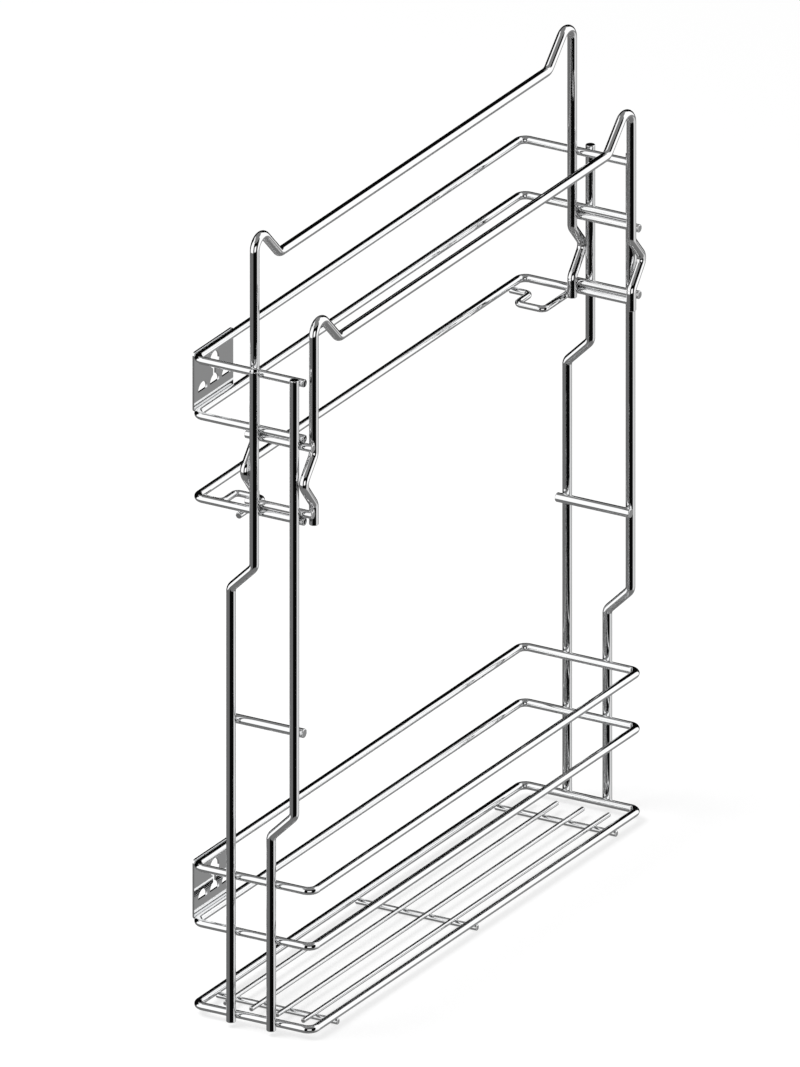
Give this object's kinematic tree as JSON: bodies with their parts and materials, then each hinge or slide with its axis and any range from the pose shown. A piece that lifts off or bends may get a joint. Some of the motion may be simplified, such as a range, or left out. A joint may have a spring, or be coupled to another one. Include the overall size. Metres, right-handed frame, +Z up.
{
  "type": "pull-out wire rack",
  "caption": "Chrome wire pull-out rack for a narrow base cabinet: bottle basket below, open guard frame above, clip-in towel carrier with two rails, slotted side plates.",
  "frame": {"origin": "middle of the footprint, on the surface that the floor's cross wires stand on", "axes": "+Z up, +Y to the rear of the cabinet, +X to the open side of the upper frame, away from the plates"},
  "size_m": [0.1038, 0.4904, 0.6111],
  "materials": {
    "chrome_wire": "bright chrome plate",
    "chrome_upright": "bright chrome plate",
    "chrome_carrier": "bright chrome plate",
    "chrome_sheet": "bright chrome plate on sheet"
  },
  "bodies": {
    "rack": {"basket_bottom_ring": "chrome_wire", "basket_middle_ring": "chrome_wire", "basket_top_ring": "chrome_wire", "front_cross_wire": "chrome_wire", "middle_cross_wire": "chrome_wire", "rear_cross_wire": "chrome_wire", "floor_wire_1": "chrome_wire", "floor_wire_2": "chrome_wire", "floor_wire_3": "chrome_wire", "floor_wire_4": "chrome_wire", "upper_shelf_wire": "chrome_wire", "upper_guard_wire": "chrome_wire", "upper_brim_wire": "chrome_wire", "front_corner_stop": "chrome_wire", "rear_corner_stop": "chrome_wire", "front_left_upright": "chrome_upright", "front_right_upright": "chrome_upright", "front_tie_bar": "chrome_upright", "rear_left_upright": "chrome_upright", "rear_right_upright": "chrome_upright", "rear_tie_bar": "chrome_upright", "upper_mounting_plate": "chrome_sheet", "lower_mounting_plate": "chrome_sheet"},
    "towel_carrier": {"inner_towel_rail": "chrome_carrier", "outer_towel_rail": "chrome_carrier", "front_upper_carrier_bar": "chrome_carrier", "front_lower_carrier_bar": "chrome_carrier", "rear_upper_carrier_bar": "chrome_carrier", "rear_lower_carrier_bar": "chrome_carrier"}
  },
  "joints": [
    {"name": "carrier_slide", "type": "slide", "parent": "rack", "child": "towel_carrier", "axis": [1, 0, 0], "range_m": [0, 0.07], "deforming": ["inner_towel_rail", "outer_towel_rail"]}
  ]
}
